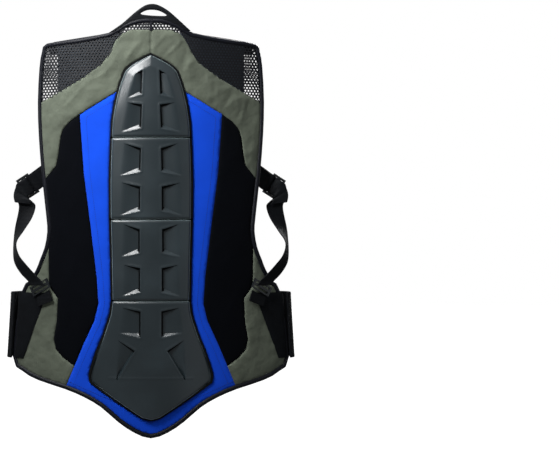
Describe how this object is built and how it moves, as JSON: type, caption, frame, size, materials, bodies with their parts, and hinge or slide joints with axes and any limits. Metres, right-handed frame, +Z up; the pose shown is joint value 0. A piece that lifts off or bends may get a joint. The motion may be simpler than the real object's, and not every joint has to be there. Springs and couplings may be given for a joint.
{
  "type": "motorcycle back protector vest",
  "caption": "Wearable back protector vest with linked hard plates over foam, shoulder yokes, side straps and a wide wrap-round kidney belt.",
  "frame": {"origin": "point on the inside top of the hanging loop where a hook carries the vest", "axes": "+Z up as the vest hangs and is worn, -Y out of the hard plates, +Y the way the wearer faces, +X the wearer's right"},
  "size_m": [0.4256, 0.1505, 0.629],
  "materials": {
    "plate": "satin moulded shell",
    "rim": "matt rubber rim",
    "foam": "closed-cell impact foam, orange",
    "mesh": "open net",
    "binding": "smooth stretch binding tape",
    "rivet": "moulded rivet",
    "blue_fabric": "smooth woven, royal blue",
    "stretch_fabric": "black stretch knit",
    "green_fabric": "olive grey-green woven",
    "pad_fabric": "pale green padded knit",
    "webbing": "woven webbing",
    "buckle": "moulded buckle",
    "clip": "grey moulded clip",
    "elastic": "wide elastic",
    "loop_pile": "loop pile of the hook-and-loop closure",
    "tongue_fabric": "grey-green woven, stitched edge",
    "badge": "plain soft moulded badge"
  },
  "bodies": {
    "upper_back": {"top_plate": "plate", "top_rim": "rim", "top_foam": "foam", "top_liner": "mesh", "top_binding": "binding", "top_rivets": "rivet", "top_centre_panel": "blue_fabric", "top_side_panels": "stretch_fabric", "upper_back_panel": "green_fabric", "shoulder_nets": "mesh", "hang_loop": "webbing"},
    "upper_mid_back": {"upper_mid_plate": "plate", "upper_mid_rim": "rim", "upper_mid_foam": "foam", "upper_mid_liner": "mesh", "upper_mid_binding": "binding", "upper_mid_rivets": "rivet", "upper_mid_centre_panel": "blue_fabric", "upper_mid_side_panels": "stretch_fabric"},
    "lower_mid_back": {"lower_mid_plate": "plate", "lower_mid_rim": "rim", "lower_mid_foam": "foam", "lower_mid_liner": "mesh", "lower_mid_binding": "binding", "lower_mid_rivets": "rivet", "lower_mid_centre_panel": "blue_fabric", "lower_mid_side_panels": "stretch_fabric"},
    "lumbar_back": {"lumbar_plate": "plate", "lumbar_rim": "rim", "lumbar_foam": "foam", "lumbar_liner": "mesh", "lumbar_binding": "binding", "lumbar_rivets": "rivet", "lumbar_centre_panel": "blue_fabric", "lumbar_side_panels": "stretch_fabric", "hip_corner_panels": "green_fabric", "side_webbing_left": "webbing", "side_webbing_right": "webbing", "hip_rings": "buckle", "hip_tabs": "webbing", "belt_bases": "elastic"},
    "yoke_left": {"yoke_panel_left": "green_fabric", "yoke_pad_left": "pad_fabric", "yoke_strap_left": "webbing", "ladder_lock_left": "buckle", "chest_tab_left": "webbing"},
    "yoke_right": {"yoke_panel_right": "green_fabric", "yoke_pad_right": "pad_fabric", "yoke_strap_right": "webbing", "ladder_lock_right": "buckle", "chest_strap_right": "webbing", "chest_ring": "clip"},
    "chest_strap": {"chest_strap_left": "webbing", "chest_clip": "clip", "chest_adjuster": "buckle"},
    "belt_left": {"belt_wing_left": "elastic", "belt_loop_patch": "loop_pile"},
    "belt_right": {"belt_wing_right": "elastic", "belt_tongue": "tongue_fabric", "belt_badge": "badge"}
  },
  "joints": [
    {"name": "upper_flex", "type": "hinge", "parent": "upper_back", "child": "upper_mid_back", "pos_m": [0, 0.014, -0.185], "axis": [1, 0, 0], "range_deg": [-4, 11], "deforming": ["side_webbing_left", "side_webbing_right"]},
    {"name": "middle_flex", "type": "hinge", "parent": "upper_mid_back", "child": "lower_mid_back", "pos_m": [0, 0.014, -0.304], "axis": [1, 0, 0], "range_deg": [-4, 11], "deforming": ["side_webbing_left", "side_webbing_right"]},
    {"name": "lower_flex", "type": "hinge", "parent": "lower_mid_back", "child": "lumbar_back", "pos_m": [0, 0.014, -0.422], "axis": [1, 0, 0], "range_deg": [-4, 8], "deforming": ["side_webbing_left", "side_webbing_right"]},
    {"name": "yoke_left_lift", "type": "hinge", "parent": "upper_back", "child": "yoke_left", "pos_m": [0, 0.084, -0.046], "axis": [1, 0, 0], "range_deg": [0, 8], "deforming": ["side_webbing_left", "side_webbing_right"]},
    {"name": "yoke_right_lift", "type": "hinge", "parent": "upper_back", "child": "yoke_right", "pos_m": [0, 0.084, -0.046], "axis": [1, 0, 0], "range_deg": [0, 8], "deforming": ["side_webbing_left", "side_webbing_right"]},
    {"name": "chest_strap_swing", "type": "hinge", "parent": "yoke_left", "child": "chest_strap", "pos_m": [-0.0866, 0.0969, -0.169], "axis": [0, 0, 1], "range_deg": [0, 80]},
    {"name": "belt_right_swing", "type": "hinge", "parent": "lumbar_back", "child": "belt_right", "pos_m": [0.2052, 0.063, -0.461], "axis": [0, 0, 1], "range_deg": [-75, 0]},
    {"name": "belt_left_swing", "type": "hinge", "parent": "lumbar_back", "child": "belt_left", "pos_m": [-0.2052, 0.063, -0.461], "axis": [0, 0, 1], "range_deg": [0, 45]}
  ],
  "couplings": [
    {"joint": "yoke_left_lift", "follows": "yoke_right_lift", "ratio": 1},
    {"joint": "belt_left_swing", "follows": "belt_right_swing", "ratio": -0.6}
  ]
}
